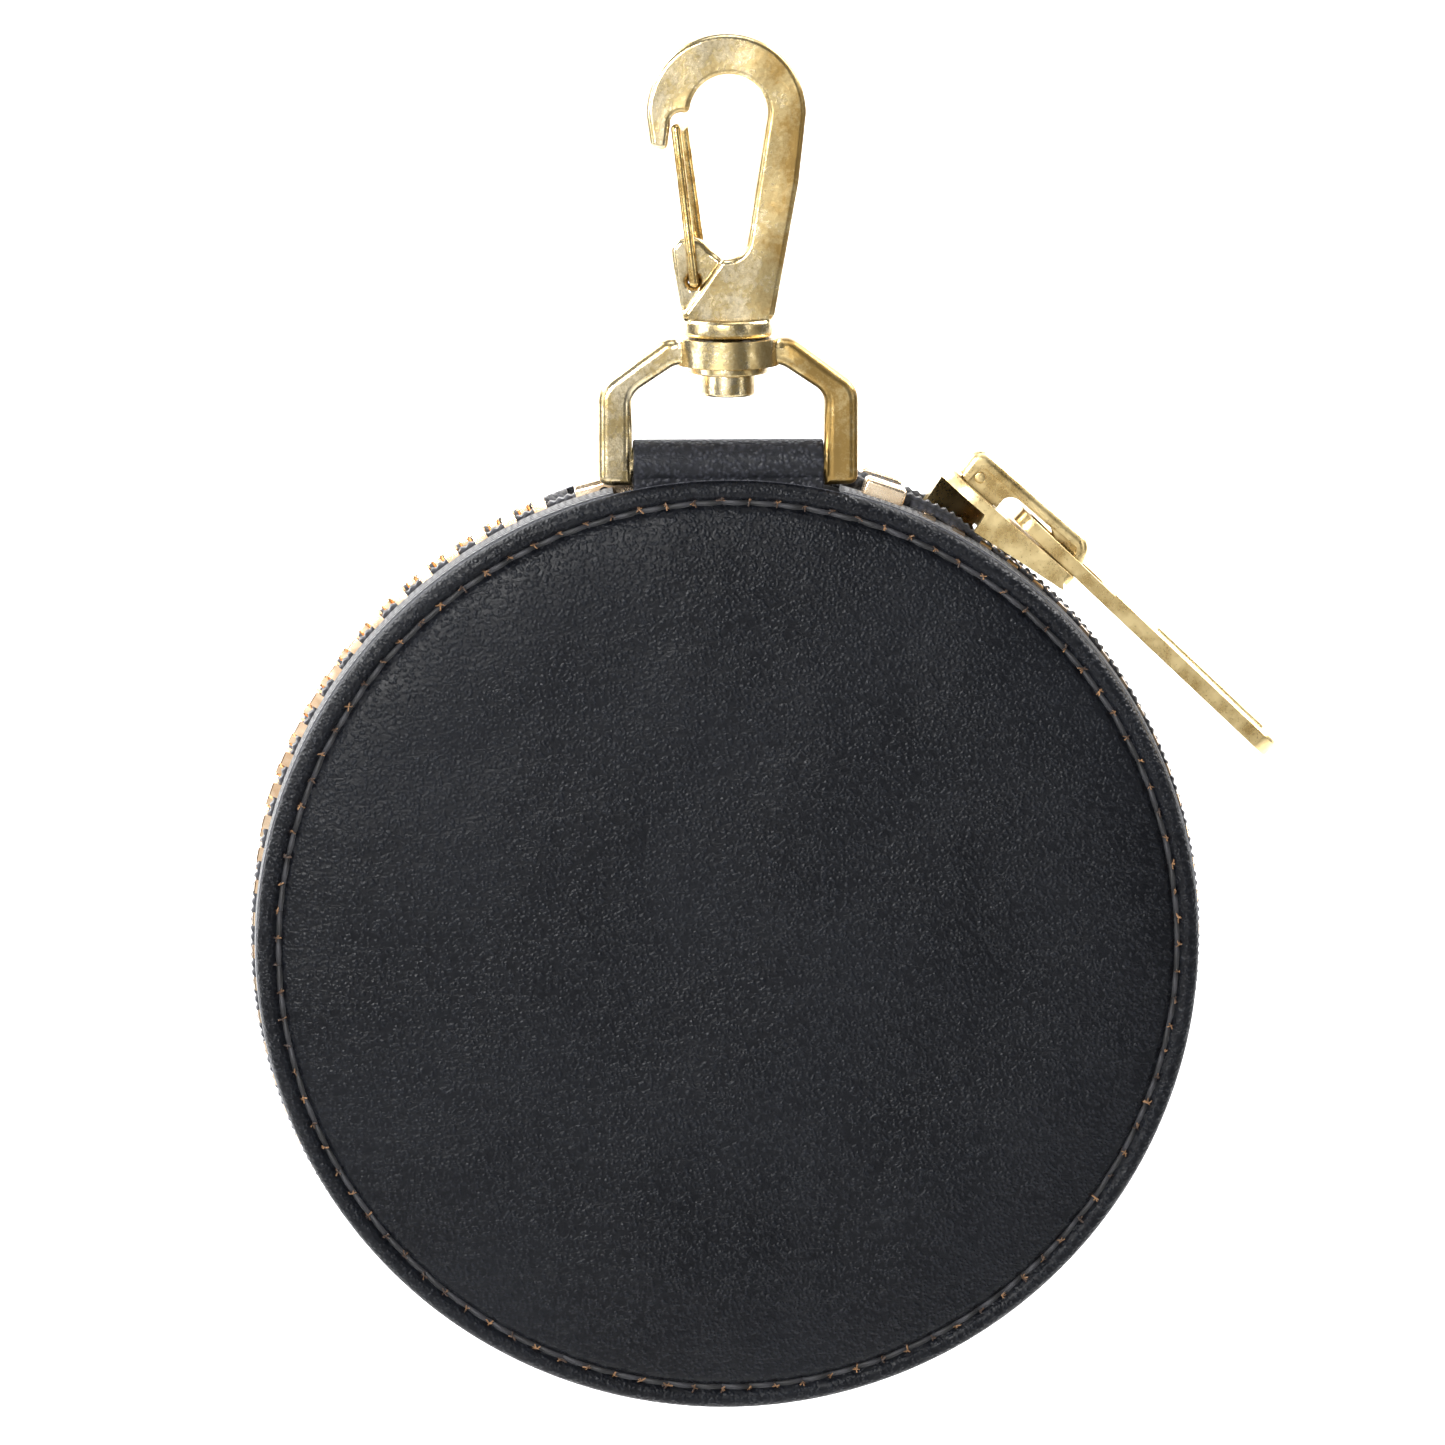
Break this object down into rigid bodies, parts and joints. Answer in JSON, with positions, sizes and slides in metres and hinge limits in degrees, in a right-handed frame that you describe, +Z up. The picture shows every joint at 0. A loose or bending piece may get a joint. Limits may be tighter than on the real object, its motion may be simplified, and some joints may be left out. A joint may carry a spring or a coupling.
{
  "type": "coin purse",
  "caption": "Round zip-round coin purse with two stitched leather faces, opening on a top hinge, on a swivel snap hook and ring.",
  "frame": {"origin": "centre of the hook's round bight, in the middle of its thickness", "axes": "X to the right seen from the front, +Y from the front leather to the back, +Z up from the purse to the hook"},
  "size_m": [0.106, 0.0201, 0.143],
  "materials": {
    "leather": "satin pebbled",
    "lining": "matt woven",
    "board": "matt bonded leather board",
    "foam": "matt",
    "zip_tape": "woven",
    "thread": "waxed",
    "hook_brass": "aged satin",
    "zip_brass": "polished"
  },
  "bodies": {
    "hook": {"hook_body": "hook_brass", "swivel_stem": "hook_brass", "swivel_washer": "hook_brass"},
    "gate": {"gate_wire": "hook_brass"},
    "ring": {"d_ring": "hook_brass"},
    "front_shell": {"front_panel": "leather", "front_stiffener": "board", "front_padding": "foam", "front_lining": "lining", "front_tape": "zip_tape", "front_teeth": "zip_brass", "front_seam_thread": "thread", "top_stop_front": "zip_brass", "tab_loop": "leather", "hinge_strip": "leather", "bottom_stop": "zip_brass"},
    "back_shell": {"back_panel": "leather", "back_stiffener": "board", "back_padding": "foam", "back_lining": "lining", "back_tape": "zip_tape", "back_teeth": "zip_brass", "back_seam_thread": "thread", "top_stop_back": "zip_brass"},
    "slider": {"slider_body": "zip_brass", "slider_cap": "zip_brass", "cap_pin": "zip_brass", "lock_spring": "zip_brass"},
    "pull": {"puller": "zip_brass"}
  },
  "joints": [
    {"name": "gate_open", "type": "hinge", "parent": "hook", "child": "gate", "pos_m": [-0.0035, 0, -0.01705], "axis": [0, 1, 0], "range_deg": [0, 20], "stiffness_Nm_per_rad": 0.01, "springref_deg": -11.46},
    {"name": "ring_swivel", "type": "hinge", "parent": "hook", "child": "ring", "pos_m": [0, 0, -0.02325], "axis": [0, 0, 1], "continuous": true},
    {"name": "ring_tilt", "type": "hinge", "parent": "ring", "child": "front_shell", "pos_m": [0, 0, -0.03555], "axis": [1, 0, 0], "range_deg": [-90, 45]},
    {"name": "shell_open", "type": "hinge", "parent": "front_shell", "child": "back_shell", "pos_m": [0, 0.0059, -0.03715], "axis": [1, 0, 0], "range_deg": [0, 45], "deforming": ["hinge_strip", "back_tape", "back_teeth", "front_teeth"]},
    {"name": "slider_travel", "type": "hinge", "parent": "front_shell", "child": "slider", "pos_m": [0, 0.0059, -0.08555], "axis": [0, 1, 0], "range_deg": [0, 280]},
    {"name": "puller_flip", "type": "hinge", "parent": "slider", "child": "pull", "pos_m": [0.03052, 0.0059, -0.0421], "axis": [0, -1, 0], "range_deg": [0, 165]}
  ],
  "couplings": [
    {"joint": "slider_travel", "follows": "shell_open", "ratio": 6.2222}
  ]
}
